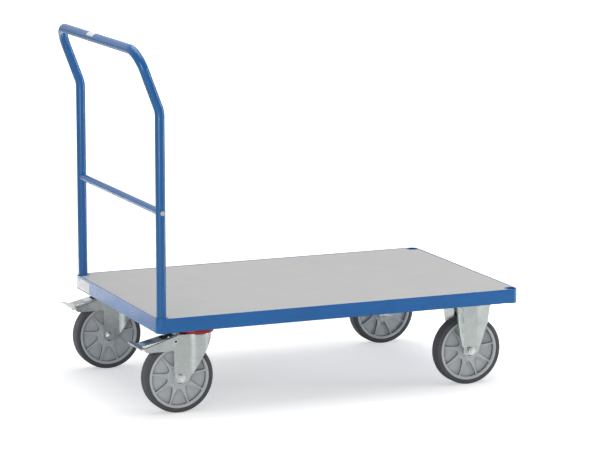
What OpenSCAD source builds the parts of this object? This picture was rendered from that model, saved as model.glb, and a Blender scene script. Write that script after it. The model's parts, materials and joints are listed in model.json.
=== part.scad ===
// Platform cart: a flat deck in a steel rim, four castors and a plug-in push handle.
// Millimetres. +X is the way the cart is pushed, +Y is its left side, +Z is up.
// The origin is on the floor, under the middle of the whole cart.

/* [Deck] */
// Length of the deck over its rim
deck_l = 1100; // [800:10:1500]
// Width of the deck over its rim
deck_w = 700; // [500:10:1000]
// Height of the rim rails
rim_h = 40; // [38:1:60]
// Thickness of the rim's sheet steel
rim_t = 3; // [2:0.5:4]
// Width of the ledge that carries the board
ledge_w = 30; // [24:1:40]
// Thickness of the deck board
board_t = 12; // [8:1:15]
// Gap round the board's edge
board_gap = 1.5; // [0.5:0.5:3]
// How far the board lies below the rim's top edge
board_drop = 0.5; // [0:0.5:2]
// Width of the channels that carry the castors
bearer_w = 142; // [140:1:170]
// Width of the channel under the middle of the deck
mid_bearer_w = 60; // [40:1:100]

/* [Push handle] */
// Outside diameter of the handle tube
handle_d = 27; // [22:1:30]
// Wall of the handle tube
handle_wall = 2; // [1.5:0.5:3]
// Height of the handle's top bar over the deck
bar_rise = 732.5; // [600:0.5:900]
// How far the top bar leans back behind the legs
bar_setback = 62.5; // [50:0.5:80]
// Centreline radius of the top corners
corner_r = 58; // [50:1:80]
// Centreline radius of the bend in the legs
kink_r = 70; // [50:1:120]
// Height of the crossbar over the deck
crossbar_rise = 291.5; // [200:0.5:400]
// Outside diameter of the crossbar
crossbar_d = 20; // [16:1:22]
// Wall of the corner sockets
socket_wall = 3.5; // [2.5:0.5:5]
// Space between a handle leg and its socket, all round
socket_clear = 0.5; // [0.3:0.1:1]

/* [Castors] */
// Diameter of the wheels
wheel_d = 200; // [160:5:250]
// Width of the tyres
tyre_w = 40; // [36:1:46]
// Thickness of the tyre over its rim
tyre_t = 16; // [14:1:24]
// Height of the castor's top over the wheel
head_rise = 41; // [41:1:50]
// Distance from the swivel axis back to the axle
trail = 57; // [50:1:65]
// Length of the castor plates
plate_l = 135; // [130:1:138]
// Width of the castor plates
plate_w = 104; // [102:1:116]
// Thickness of the castor plates
plate_t = 6; // [5:0.5:8]
// Bolt spacing along the castor plates
bolts_l = 105; // [100:1:110]
// Bolt spacing across the castor plates
bolts_w = 60; // [58:1:62]
// Distance from the deck's rear end to the swivel axis
rear_inset = 132.5; // [125:0.5:200]
// Distance from the deck's front end to the fixed axles
front_inset = 140; // [110:0.5:200]
// Space between a long rail and a castor plate
side_inset = 0.5; // [0.5:0.5:40]
// Space between the two sides of a fork
fork_gap = 52; // [50:1:60]
// Thickness of the fork's sheet steel
fork_t = 4; // [3:0.5:5]
// Outside radius of the swivel head
head_r = 41; // [40:0.5:46]
// Radius of the axle sleeves
sleeve_r = 10; // [9:0.5:12]
// Radius of the axle bolts
axle_r = 6; // [5:0.5:6]
// Number of spokes on each rim
spokes = 9; // [6:1:12]

/* [Brakes] */
// How far the pedals turn down, in degrees
pedal_travel = 8; // [6:1:9]
// Length of the pedal beyond the axle
pedal_reach = 112; // [105:1:120]
// Width of the bar across the pedal's tip
tip_w = 110; // [60:1:110]
// Space between the brake shoe and the tyre when the pedal is down
shoe_clear = 0.5; // [0.4:0.1:1]

/* [Hidden] */
$fn = 64;

// Clearances
weld_gap = 0.05;      // between pieces that are welded or pressed together
run_gap = 0.05;       // between a shaft and what turns on it
free_gap = 0.3;       // between faces that pass each other
bolt_gap = 0.5;       // round a bolt in its hole
cut = 1;              // how far a cutting shape runs past what it cuts

// Fasteners
castor_bolt_r = 5;
castor_head_r = 9.8;
castor_head_h = 3.5;
castor_nut_h = 8;
thread_end = 2;       // thread that stands out of a nut
hex = 6;
axle_head_r = 11;
axle_head_h = 7.5;
axle_nut_h = 8;
axle_flange_r = 12.5;
axle_flange_h = 1.8;
screw_r = 2.4;
screw_head_r = 4.6;
screw_rim_r = 3.6;    // of the head's outer face
screw_head_h = 2.6;
screw_l = 12;
screws_long = 4;      // screws along each long rail
screws_short = 2;     // screws along each short rail
bar_bolt_r = 4;
bar_bolt_head_r = 7.2;
bar_bolt_head_h = 4.5;
bar_bolt_l = 42;      // under the head
bar_plug_l = 20;      // solid end of the crossbar that takes the bolt

// Frame heights and places
ledge_t = 3;
castor_h = wheel_d + head_rise;
rim_z = castor_h - plate_t;   // the castor plates lie inside the rim
deck_top = rim_z + rim_h;
board_z = deck_top - board_drop - board_t;
ledge_z = board_z - ledge_t;
bearer_t = 3;
socket_ir = handle_d / 2 + socket_clear;
socket_r = socket_ir + socket_wall;
socket_drop = 1.5;    // how far a socket reaches below the rim
socket_z = rim_z - socket_drop;
socket_floor = 3;
leg_x = deck_l / 2 - socket_r;
leg_y = deck_w / 2 - socket_r;
handle_back = bar_setback + handle_d / 2 - socket_r;
tip_bar = [12, 3];    // depth and thickness of the bar across a pedal's tip
pedal_back = trail + pedal_reach + tip_bar[0] - rear_inset;
deck_x = max(handle_back, pedal_back) / 2;
castor_y = deck_w / 2 - rim_t - side_inset - plate_w / 2;
rear_x = deck_x - deck_l / 2 + rear_inset;
front_x = deck_x + deck_l / 2 - front_inset;
REAR_LEFT = [rear_x, castor_y, 0];
REAR_RIGHT = [rear_x, -castor_y, 0];
FRONT_LEFT = [front_x, castor_y, 0];
FRONT_RIGHT = [front_x, -castor_y, 0];
AXLE_BACK = [-trail, 0, 0];

// Push handle
handle_r = handle_d / 2;
leg_z = socket_z + socket_floor + free_gap;
lean_sin = 0.352;     // the lean's sine and cosine, a slope that short decimals give exactly
lean_cos = 0.936;
lean = atan2(lean_sin, lean_cos);
slope_l = bar_setback / lean_sin;
kink_rise = bar_rise - slope_l * lean_cos;
kink_tangent = kink_r * lean_sin / (1 + lean_cos);
leg_run = deck_top + kink_rise - kink_tangent - leg_z;
slope_run = slope_l - kink_tangent - corner_r;
bar_run = 2 * (leg_y - corner_r);

// Wheels
wheel_r = wheel_d / 2;
rim_r = wheel_r - tyre_t;
rim_lip = 2.8;        // the rim's edge that shows beside the tyre
rim_lip_t = 3;
rim_wall = 5;
rim_face = tyre_w / 2 - 0.5;
hub_r = 34;
hub_face = 16;
boss_r = 23;
web_face = 11;
spoke_face = 15;
spoke_w_in = 17;
spoke_w_out = 6;
spoke_turn = 10;
tread_round = 5;
bearing_r = 16;
bearing_l = fork_gap - 2;
spoke_in = (bearing_r + boss_r) / 2;
spoke_out = rim_r - rim_wall + 2 * cut;

// Swivel heads
plate_z = castor_h - plate_t;
boss_drop = 6;        // how far the plate's raceway stands below it
boss_space = 1;       // from the raceway out to the seal ring
boss_wall = 0.2;      // of the raceway, outside its groove's widest part
race_gap = 7;         // from the fork's crown up to the raceway
crown_t = 4;
crown_z = plate_z - boss_drop - race_gap;
upper_row_r = 33;
upper_ball_r = 4;
lower_row_r = 20;
lower_ball_r = 3;
lower_gap = 5;        // from the crown down to the kingpin's race
groove_gap = 0.3;
kingpin_r = 8;
kingpin_head_r = 12;
kingpin_head_h = 2.5;
race_r = 26;
race_t = 5;
seal_lip = 7.5;       // how far the seal ring stands out of the fork's head
seal_bevel = [3, 2];  // inwards and down, at the seal ring's top
seal_foot = 1.5;
seal_r = head_r + seal_lip;
seal_ir = upper_row_r + upper_ball_r + groove_gap + boss_wall + boss_space;
seal_h = plate_z - crown_z - free_gap;

// Forks
fork_y = fork_gap / 2 + fork_t;
leg_back = 18.5;      // from the axle to the leg's rear edge
leg_front = 19.4;     // from the axle to the foot of the slanted edge
leg_below = 13.2;     // from the axle down to the leg's foot
leg_round = 11;
front_drop = 6.5;     // how far below the crown the slanted edge ends
arm_tip = 104.6;      // from the axle to the arm's end
arm_low = 44;         // from the crown down to the arm's underside
arm_end_low = 32;     // from the crown down to the top of the arm's end
arm_round = 4;
arm_turn = [110, 225];    // angles between which its end is rounded
arm_start = 1;        // how far behind the axle the arm begins to fall
leg_bend = sqrt(head_r * head_r - fork_y * fork_y);
fixed_leg_w = 45;
flange_fold = 34;     // angle of the fixed fork's outward flanges
flange_w = [5, 30, 38];   // at its foot, at its knee and at the plate
flange_below = 8;     // from the axle down to the flange's foot
flange_knee = 41;     // from the crown down to the knee
flange_z = [wheel_r - flange_below, crown_z - flange_knee, plate_z + cut];
foot_round = 12;

// Brakes
pivot_back = 14;      // from the axle back to the pedal's rivets
pivot_drop = 18;      // from the crown down to them
tip_drop = 26.4;      // from the crown down to the tread's tip
tread_back = 5;       // from the axle back to the tread's end
tread_drop = 1.5;     // from the crown down to it
pivot = [-trail - pivot_back, crown_z - pivot_drop];
rivet_r = 4;
rivet_head_r = 6.5;
rivet_head_t = 1.2;
rivet_bore = 3;
pedal_w = fork_gap - 2 * free_gap;
pedal_t = 2;
tread_t = 2.5;
tread_tip = [-trail - pedal_reach, crown_z - tip_drop];
tread_end = [-trail - tread_back, crown_z - tread_drop];
tread_slope = (tread_end[1] - tread_tip[1]) / (tread_end[0] - tread_tip[0]);
lip_h = 7;
ear_r = 9;            // round the rivets
ear_turn = 120;
slot_l = 34;
slot_w = 5;
slot_pitch = 14;
slot_start = 9;
window_l = 38;        // opening in the tread, between its slots and the rivets
window_w = 38;
window_start = 5;     // from the tread's end back to the opening
shoe_w = 32;
shoe_from = 32;       // angles behind the wheel's top
shoe_to = 43;

// ---- helpers ----

function arc(c, r, from, to, n = 8) =
    [for (i = [0:n]) c + r * [cos(from + (to - from) * i / n), sin(from + (to - from) * i / n)]];

// A point of the pressed pedal, turned back to the released pedal
function released(p) = let (d = p - pivot, c = cos(pedal_travel), s = sin(pedal_travel))
    pivot + [d[0] * c + d[1] * s, d[1] * c - d[0] * s];

module annulus(r_out, r_in) {
    difference() {
        circle(r_out);
        circle(r_in);
    }
}

module tube(r_out, r_in, h) {
    linear_extrude(h) annulus(r_out, r_in);
}

// A shape whose own Z axis is laid along +Y
module across() {
    rotate([-90, 0, 0]) children();
}

// A side view in (x, z), made w wide about y = 0
module side_cut(w) {
    rotate([90, 0, 0]) linear_extrude(w, center = true) children();
}

module at_plate_bolts() {
    for (x = [-1, 1], y = [-1, 1]) translate([x * bolts_l / 2, y * bolts_w / 2, 0]) children();
}

module at_castors() {
    for (p = [REAR_LEFT, REAR_RIGHT, FRONT_LEFT, FRONT_RIGHT]) translate(p) children();
}

module at_front_castors() {
    for (p = [FRONT_LEFT, FRONT_RIGHT]) translate(p) children();
}

module at_sockets() {
    for (x = [-1, 1], y = [-1, 1]) translate([deck_x + x * leg_x, y * leg_y, 0]) children();
}

// ---- frame ----

// A rail along X with its outer face at y = 0 and its foot at z = 0
module rail_shape(l, ledge_l) {
    translate([-l / 2, 0, 0]) cube([l, rim_t, rim_h]);
    translate([-ledge_l / 2, 0, ledge_z - rim_z]) cube([ledge_l, rim_t + ledge_w, ledge_t]);
}

module at_screws_long() {
    for (i = [0:screws_long - 1], y = [-1, 1])
        translate([
            deck_x + (i - (screws_long - 1) / 2) * (2 * leg_x - 2 * ledge_w) / screws_long,
            y * (deck_w / 2 - rim_t - ledge_w / 2), 0
        ]) children();
}

module at_screws_short() {
    for (i = [0:screws_short - 1], x = [-1, 1])
        translate([
            deck_x + x * (deck_l / 2 - rim_t - ledge_w / 2),
            (i - (screws_short - 1) / 2) * (2 * leg_y - 2 * ledge_w) / screws_short, 0
        ]) children();
}

module screw_holes() {
    at_screws_long() translate([0, 0, ledge_z - cut]) cylinder(r = screw_r + run_gap, h = screw_l + cut);
    at_screws_short() translate([0, 0, ledge_z - cut]) cylinder(r = screw_r + run_gap, h = screw_l + cut);
}

module rail() {
    color([0.16, 0.38, 0.65]) difference() {
        children();
        at_sockets() translate([0, 0, rim_z - cut]) cylinder(r = socket_r + weld_gap, h = rim_h + 2 * cut);
        screw_holes();
    }
}

module long_rail(side) {
    rail() translate([deck_x, 0, rim_z]) mirror([0, side > 0 ? 1 : 0, 0])
        translate([0, -deck_w / 2, 0]) rail_shape(2 * leg_x, 2 * (leg_x - socket_r));
}

module short_rail(end) {
    ledge_l = deck_w - 2 * (rim_t + ledge_w) - 2 * weld_gap;
    rail() translate([deck_x, 0, rim_z]) mirror([end > 0 ? 1 : 0, 0, 0])
        translate([-deck_l / 2, 0, 0]) rotate([0, 0, -90]) rail_shape(2 * leg_y, ledge_l);
}

module socket(x, y) {
    color([0.16, 0.38, 0.65]) translate([deck_x + x * leg_x, y * leg_y, socket_z]) difference() {
        cylinder(r = socket_r, h = deck_top - socket_z);
        translate([0, 0, socket_floor]) cylinder(r = socket_ir, h = deck_top - socket_z);
    }
}

module deck_board() {
    l = deck_l - 2 * (rim_t + board_gap);
    w = deck_w - 2 * (rim_t + board_gap);
    notch = socket_r + board_gap;
    color([0.76, 0.76, 0.76]) difference() {
        translate([deck_x - l / 2, -w / 2, board_z]) cube([l, w, board_t]);
        at_sockets() translate([0, 0, board_z - cut]) cylinder(r = notch, h = board_t + 2 * cut);
        for (x = [-1, 1], y = [-1, 1])
            translate([deck_x + x * (leg_x + notch), y * (leg_y + notch), board_z])
                cube([2 * notch, 2 * notch, 3 * board_t], center = true);
        screw_holes();
    }
}

// A channel across the frame, open upwards, with its middle at x = 0
module channel(w) {
    l = deck_w - 2 * rim_t - 2 * weld_gap;
    h = ledge_z - castor_h - weld_gap;
    translate([-w / 2, -l / 2, castor_h]) difference() {
        cube([w, l, h]);
        translate([bearer_t, -cut, bearer_t]) cube([w - 2 * bearer_t, l + 2 * cut, h]);
    }
}

module bearer(x, w) {
    color([0.16, 0.38, 0.65]) difference() {
        translate([x, 0, 0]) channel(w);
        at_castors() at_plate_bolts() translate([0, 0, castor_h - cut])
            cylinder(r = castor_bolt_r + bolt_gap, h = bearer_t + 2 * cut);
    }
}

module deck_screw() {
    translate([0, 0, ledge_z - screw_head_h]) {
        cylinder(r1 = screw_rim_r, r2 = screw_head_r, h = screw_head_h);
        cylinder(r = screw_r, h = screw_l + screw_head_h - cut);
    }
}

module deck_screws() {
    color([0.75, 0.76, 0.78]) {
        at_screws_long() deck_screw();
        at_screws_short() deck_screw();
    }
}

module castor_bolts() {
    color([0.78, 0.79, 0.8]) at_castors() at_plate_bolts() {
        translate([0, 0, plate_z - castor_head_h]) cylinder(r = castor_head_r, h = castor_head_h, $fn = hex);
        translate([0, 0, plate_z - castor_head_h])
            cylinder(r = castor_bolt_r, h = castor_head_h + plate_t + bearer_t + castor_nut_h + thread_end);
    }
}

module castor_nuts() {
    color([0.78, 0.79, 0.8]) at_castors() at_plate_bolts() translate([0, 0, castor_h + bearer_t])
        difference() {
            cylinder(r = castor_head_r, h = castor_nut_h, $fn = hex);
            translate([0, 0, -cut]) cylinder(r = castor_bolt_r + run_gap, h = castor_nut_h + 2 * cut);
        }
}

// ---- castors, drawn about the plate's middle ----

module castor_plate() {
    difference() {
        translate([-plate_l / 2, -plate_w / 2, plate_z]) cube([plate_l, plate_w, plate_t]);
        at_plate_bolts() translate([0, 0, plate_z - cut])
            cylinder(r = castor_bolt_r + bolt_gap, h = plate_t + 2 * cut);
    }
}

// The ring-shaped groove in which a row of balls runs
module groove(row_r, ball_r, z) {
    translate([0, 0, z]) rotate_extrude() translate([row_r, 0]) circle(ball_r + groove_gap);
}

module upper_groove() {
    groove(upper_row_r, upper_ball_r, crown_z + race_gap / 2);
}

module lower_groove() {
    groove(lower_row_r, lower_ball_r, crown_z - crown_t - lower_gap / 2);
}

module swivel_plate() {
    color([0.8, 0.81, 0.82]) difference() {
        union() {
            castor_plate();
            translate([0, 0, plate_z - boss_drop]) cylinder(r = seal_ir - boss_space, h = boss_drop + cut);
        }
        upper_groove();
        translate([0, 0, plate_z - boss_drop - cut])
            cylinder(r = kingpin_r + weld_gap, h = boss_drop + plate_t + 2 * cut);
        translate([0, 0, castor_h - kingpin_head_h])
            cylinder(r = kingpin_head_r + weld_gap, h = kingpin_head_h + cut);
    }
}

module kingpin() {
    foot = crown_z - crown_t - lower_gap - race_t;
    color([0.72, 0.73, 0.75]) difference() {
        union() {
            translate([0, 0, foot]) cylinder(r = race_r, h = race_t);
            translate([0, 0, foot]) cylinder(r = kingpin_r, h = castor_h - foot);
            translate([0, 0, castor_h - kingpin_head_h]) cylinder(r = kingpin_head_r, h = kingpin_head_h);
        }
        lower_groove();
    }
}

module ball_row(row_r, ball_r, z) {
    n = floor(360 / (2 * asin((ball_r + groove_gap) / row_r)));
    for (i = [0:n - 1]) rotate([0, 0, i * 360 / n]) translate([row_r, 0, z]) sphere(ball_r);
}

module ball_rows() {
    color([0.7, 0.71, 0.73]) {
        ball_row(upper_row_r, upper_ball_r, crown_z + race_gap / 2);
        ball_row(lower_row_r, lower_ball_r, crown_z - crown_t - lower_gap / 2);
    }
}

module seal_ring() {
    color([0.72, 0.1, 0.12]) translate([0, 0, crown_z]) rotate_extrude()
        polygon([
            [seal_ir, 0], [head_r, 0], [seal_r, seal_foot], [seal_r, seal_h - seal_bevel[1]],
            [seal_r - seal_bevel[0], seal_h], [seal_ir, seal_h]
        ]);
}

// Side view of a swivel fork: leg, slanted front edge, head and rear arm
module fork_side() {
    foot = wheel_r - leg_below;
    back = -trail - leg_back;
    slant_foot = [-trail + leg_front, foot];
    slant_head = [head_r, crown_z - front_drop];
    slant = atan2(slant_head[1] - slant_foot[1], slant_head[0] - slant_foot[0]);
    tip = -trail - arm_tip;
    under = crown_z - arm_low;
    polygon(concat(
        arc([back + leg_round, foot + leg_round], leg_round, 180, 270),
        arc([slant_foot[0] - leg_round * tan(slant / 2), foot + leg_round], leg_round, 270, 270 + slant),
        [slant_head, [head_r, crown_z], [-trail - arm_start, crown_z]],
        arc([tip + arm_round, crown_z - arm_end_low - arm_round], arm_round, arm_turn[0], arm_turn[1]),
        [[tip + 2 * arm_round, under]],
        arc([back - arm_round, under - arm_round], arm_round, 90, 0)
    ));
}

// Plan of a swivel fork: two flat sides, and the round head that closes it in front
module fork_plan() {
    far = trail + arm_tip + cut;
    for (s = [-1, 1]) translate([-far, s > 0 ? fork_gap / 2 : -fork_y]) square([far - leg_bend, fork_t]);
    intersection() {
        annulus(head_r, head_r - fork_t);
        translate([-leg_bend, -head_r]) square([leg_bend + head_r, 2 * head_r]);
    }
}

module swivel_fork() {
    color([0.8, 0.81, 0.82]) difference() {
        union() {
            intersection() {
                linear_extrude(crown_z) fork_plan();
                side_cut(2 * head_r + cut) fork_side();
            }
            translate([0, 0, crown_z - crown_t]) linear_extrude(crown_t) {
                circle(head_r);
                translate([-trail - arm_start, -fork_gap / 2 - cut]) square([trail, fork_gap + 2 * cut]);
            }
        }
        translate([-trail, -fork_y - cut, wheel_r]) across()
            cylinder(r = axle_r + run_gap, h = 2 * (fork_y + cut));
        translate([pivot[0], -fork_y - cut, pivot[1]]) across()
            cylinder(r = rivet_r + run_gap, h = 2 * (fork_y + cut));
        translate([0, 0, crown_z - crown_t - cut])
            cylinder(r = kingpin_r + free_gap, h = crown_t + 2 * cut);
        upper_groove();
        lower_groove();
    }
}

// One leg of a fixed fork: a flat web, and two flanges folded outwards, wider towards the top
module fixed_leg() {
    foot = wheel_r - leg_below;
    half = fixed_leg_w / 2;
    rotate([90, 0, 0]) linear_extrude(fork_t) {
        translate([-half, foot + foot_round]) square([fixed_leg_w, plate_z + cut - foot - foot_round]);
        translate([-half + foot_round, foot]) square([fixed_leg_w - 2 * foot_round, 2 * foot_round]);
        for (s = [-1, 1]) translate([s * (half - foot_round), foot + foot_round]) circle(foot_round);
    }
    for (s = [0, 1]) mirror([s, 0, 0]) {
        translate([half, 0, 0]) rotate([0, 0, -flange_fold]) rotate([90, 0, 0]) linear_extrude(fork_t)
            polygon([
                [0, flange_z[0]], [flange_w[0], flange_z[0] + flange_w[0]],
                [flange_w[1], flange_z[1]], [flange_w[2], flange_z[2]], [0, flange_z[2]]
            ]);
        translate([half, 0, flange_z[0]]) cylinder(r = fork_t, h = flange_z[2] - flange_z[0]);
    }
}

module fixed_fork() {
    color([0.8, 0.81, 0.82]) difference() {
        union() {
            castor_plate();
            for (s = [0, 1]) mirror([0, s, 0]) intersection() {
                translate([0, -fork_gap / 2, 0]) fixed_leg();
                translate([-plate_l / 2, -plate_w / 2, 0])
                    cube([plate_l, (plate_w - fork_gap) / 2, castor_h - cut]);
            }
        }
        translate([0, -plate_w / 2, wheel_r]) across() cylinder(r = axle_r + run_gap, h = plate_w);
    }
}

// ---- axles, drawn about the axle at y = 0 ----

module axle_bolt() {
    tail = fork_y + axle_flange_h + axle_nut_h + thread_end;
    color([0.8, 0.81, 0.82]) translate([0, 0, wheel_r]) {
        translate([0, -tail, 0]) across() cylinder(r = axle_r, h = tail + fork_y + axle_head_h);
        translate([0, fork_y, 0]) across() cylinder(r = axle_head_r, h = axle_head_h, $fn = hex);
    }
}

module axle_nut() {
    color([0.84, 0.85, 0.86]) translate([0, -fork_y - axle_flange_h - axle_nut_h, wheel_r]) across()
        difference() {
        union() {
            cylinder(r = axle_head_r, h = axle_nut_h + axle_flange_h, $fn = hex);
            translate([0, 0, axle_nut_h]) cylinder(r = axle_flange_r, h = axle_flange_h);
        }
        translate([0, 0, -cut]) cylinder(r = axle_r + run_gap, h = axle_nut_h + axle_flange_h + 2 * cut);
    }
}

module axle_sleeve() {
    color([0.7, 0.71, 0.73]) translate([0, -fork_gap / 2, wheel_r]) across()
        tube(sleeve_r, axle_r + run_gap, fork_gap);
}

// ---- wheels, drawn about the axle ----

module on_axle() {
    translate([0, 0, wheel_r]) rotate([90, 0, 0]) children();
}

// The rim's seat for the tyre, from its outer face to its inner face, as (radius, across)
function seat() = [
    [rim_r + rim_lip, rim_face], [rim_r + rim_lip, rim_face - rim_lip_t], [rim_r, rim_face - 2 * rim_lip_t],
    [rim_r, -rim_face + 2 * rim_lip_t], [rim_r + rim_lip, -rim_face + rim_lip_t],
    [rim_r + rim_lip, -rim_face]
];

module tyre() {
    half = tyre_w / 2;
    edge = [wheel_r - tread_round, half - tread_round];
    color([0.3, 0.31, 0.33]) on_axle() rotate_extrude() polygon(concat(
        seat(),
        [[rim_r + rim_lip + 1.5, -half]],
        arc([edge[0], -edge[1]], tread_round, 270, 360),
        arc(edge, tread_round, 0, 90),
        [[rim_r + rim_lip + 1.5, half]]
    ));
}

module rim() {
    color([0.66, 0.69, 0.7]) on_axle() difference() {
        union() {
            rotate_extrude()
                polygon(concat(seat(), [[rim_r - rim_wall, -rim_face], [rim_r - rim_wall, rim_face]]));
            translate([0, 0, -web_face]) cylinder(r = rim_r - rim_wall + cut, h = 2 * web_face);
            translate([0, 0, -hub_face]) cylinder(r = hub_r, h = 2 * hub_face);
            translate([0, 0, -bearing_l / 2]) cylinder(r = boss_r, h = bearing_l);
            for (i = [0:spokes - 1]) rotate([0, 0, spoke_turn + i * 360 / spokes])
                linear_extrude(2 * spoke_face, center = true) polygon([
                    [spoke_in, -spoke_w_in / 2], [spoke_out, -spoke_w_out / 2],
                    [spoke_out, spoke_w_out / 2], [spoke_in, spoke_w_in / 2]
                ]);
        }
        cylinder(r = bearing_r, h = bearing_l + 2 * cut, center = true);
    }
}

module bearing() {
    color([0.25, 0.26, 0.28]) on_axle() translate([0, 0, -bearing_l / 2])
        tube(bearing_r, sleeve_r + run_gap, bearing_l);
}

// ---- brakes, drawn about the swivel axis ----

module pedal_rivets() {
    color([0.85, 0.86, 0.87]) for (s = [0, 1]) mirror([0, s, 0])
        translate([pivot[0], pedal_w / 2 - pedal_t - cut, pivot[1]]) across() difference() {
            union() {
                cylinder(r = rivet_r, h = fork_y - pedal_w / 2 + pedal_t + cut + rivet_head_t);
                translate([0, 0, fork_y - pedal_w / 2 + pedal_t + cut])
                    cylinder(r = rivet_head_r, h = rivet_head_t);
            }
            translate([0, 0, -cut]) cylinder(r = rivet_bore, h = fork_y);
        }
}

// Height of the tread's underside at x
function tread_under(x) = tread_tip[1] + (x - tread_tip[0]) * tread_slope - tread_t;

module pedal() {
    color([0.83, 0.84, 0.85]) difference() {
        union() {
            side_cut(pedal_w) polygon([
                tread_tip, tread_end, tread_end - [0, tread_t],
                [tread_tip[0] + tread_t, tread_under(tread_tip[0] + tread_t)],
                tread_tip + [tread_t, -lip_h], tread_tip - [0, lip_h]
            ]);
            for (s = [-1, 1]) translate([0, s * (pedal_w - pedal_t) / 2, 0]) side_cut(pedal_t) polygon(concat(
                [tread_tip, tread_end],
                arc(pivot, ear_r, 0, -ear_turn),
                [tread_tip - [0, lip_h]]
            ));
            translate([tread_tip[0] - tip_bar[0], -tip_w / 2, tread_tip[1] - tip_bar[1]])
                cube([tip_bar[0] + tread_t, tip_w, tip_bar[1]]);
        }
        translate([tread_end[0] - window_start - window_l, -window_w / 2, tread_tip[1]])
            cube([window_l, window_w, slot_l]);
        for (i = [-1:1]) translate([tread_tip[0] + slot_start, i * slot_pitch - slot_w / 2, 0])
            translate([0, 0, tread_tip[1] - lip_h]) cube([slot_l, slot_w, lip_h + slot_l]);
        translate([pivot[0], -pedal_w / 2 - cut, pivot[1]]) across()
            cylinder(r = rivet_r + run_gap, h = pedal_w + 2 * cut);
    }
}

module brake_shoe() {
    axle = [-trail, wheel_r];
    face = [for (p = arc(axle, wheel_r + shoe_clear, 90 + shoe_from, 90 + shoe_to)) released(p)];
    near = face[0][0];
    far = face[len(face) - 1][0];
    color([0.2, 0.2, 0.22]) side_cut(shoe_w)
        polygon(concat(face, [[far, tread_under(far) - weld_gap], [near, tread_under(near) - weld_gap]]));
}

// ---- push handle ----

module handle_ring() {
    annulus(handle_r, handle_r - handle_wall);
}

module run(l) {
    linear_extrude(l) handle_ring();
}

// A quarter bend from +Z to +X
module quarter_bend(r) {
    translate([r, 0, 0]) rotate([90, 0, 180]) rotate_extrude(angle = 90) translate([r, 0]) handle_ring();
}

// A bend from +Z towards +X: the start of a quarter bend, cut square to the tube
module bend(r, a) {
    difference() {
        quarter_bend(r);
        after_bend(r, a) translate([-2 * r, -2 * r, 0]) cube(4 * r);
    }
}

module after_bend(r, a) {
    translate([r * (1 - cos(a)), 0, r * sin(a)]) rotate([0, a, 0]) children();
}

// One leg from its foot to the end of its top corner; children go on from there
module handle_leg(side) {
    translate([deck_x - leg_x, side * leg_y, leg_z]) {
        run(leg_run);
        translate([0, 0, leg_run]) rotate([0, 0, 180]) {
            bend(kink_r, lean);
            after_bend(kink_r, lean) {
                run(slope_run);
                translate([0, 0, slope_run]) rotate([0, 0, side * 90]) {
                    quarter_bend(corner_r);
                    after_bend(corner_r, 90) children();
                }
            }
        }
    }
}

module crossbar_axis() {
    translate([deck_x - leg_x, 0, deck_top + crossbar_rise]) children();
}

module handle_tube() {
    color([0.2, 0.42, 0.64]) difference() {
        union() {
            handle_leg(1) run(bar_run);
            handle_leg(-1);
        }
        crossbar_axis() translate([0, -deck_w / 2, 0]) across()
            cylinder(r = bar_bolt_r + run_gap, h = deck_w);
    }
}

module crossbar() {
    color([0.2, 0.42, 0.64]) difference() {
        crossbar_axis() translate([0, -leg_y, 0]) across() difference() {
            cylinder(r = crossbar_d / 2, h = 2 * leg_y);
            translate([0, 0, handle_r + bar_plug_l])
                cylinder(r = crossbar_d / 2 - handle_wall, h = 2 * (leg_y - handle_r - bar_plug_l));
            for (e = [0, 2 * leg_y]) translate([0, 0, e])
                cylinder(r = bar_bolt_r + run_gap, h = 2 * bar_bolt_l, center = true);
        }
        for (s = [-1, 1]) translate([deck_x - leg_x, s * leg_y, deck_top])
            cylinder(r = handle_r + weld_gap, h = 2 * crossbar_rise);
    }
}

module crossbar_bolts() {
    color([0.82, 0.83, 0.84]) crossbar_axis() for (s = [0, 1]) mirror([0, s, 0])
        translate([0, leg_y + handle_r - bar_bolt_l, 0]) across() {
            cylinder(r = bar_bolt_r, h = bar_bolt_l);
            translate([0, 0, bar_bolt_l]) cylinder(r = bar_bolt_head_r, h = bar_bolt_head_h, $fn = hex);
        }
}

// ---- nodes ----

long_rail(1);  // rail_left
long_rail(-1);  // rail_right
short_rail(-1);  // rail_rear
short_rail(1);  // rail_front
socket(-1, 1);  // socket_rear_left
socket(-1, -1);  // socket_rear_right
socket(1, 1);  // socket_front_left
socket(1, -1);  // socket_front_right
deck_board();
bearer(rear_x, bearer_w);  // bearer_rear
bearer(deck_x, mid_bearer_w);  // bearer_middle
bearer(front_x, bearer_w);  // bearer_front
deck_screws();
castor_bolts();
castor_nuts();
translate(REAR_LEFT) swivel_plate();  // swivel_plate_left
translate(REAR_RIGHT) swivel_plate();  // swivel_plate_right
translate(REAR_LEFT) kingpin();  // kingpin_left
translate(REAR_RIGHT) kingpin();  // kingpin_right
translate(FRONT_LEFT) fixed_fork();  // fixed_fork_left
translate(FRONT_RIGHT) fixed_fork();  // fixed_fork_right
at_front_castors() axle_bolt();  // axle_bolts_front
at_front_castors() axle_nut();  // axle_nuts_front
at_front_castors() axle_sleeve();  // axle_sleeves_front
translate(REAR_LEFT) swivel_fork();  // swivel_fork_left
translate(REAR_RIGHT) swivel_fork();  // swivel_fork_right
translate(REAR_LEFT) seal_ring();  // seal_ring_left
translate(REAR_RIGHT) seal_ring();  // seal_ring_right
translate(REAR_LEFT) ball_rows();  // ball_rows_left
translate(REAR_RIGHT) ball_rows();  // ball_rows_right
translate(REAR_LEFT + AXLE_BACK) axle_bolt();  // axle_bolt_rear_left
translate(REAR_RIGHT + AXLE_BACK) axle_bolt();  // axle_bolt_rear_right
translate(REAR_LEFT + AXLE_BACK) axle_nut();  // axle_nut_rear_left
translate(REAR_RIGHT + AXLE_BACK) axle_nut();  // axle_nut_rear_right
translate(REAR_LEFT + AXLE_BACK) axle_sleeve();  // axle_sleeve_rear_left
translate(REAR_RIGHT + AXLE_BACK) axle_sleeve();  // axle_sleeve_rear_right
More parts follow.
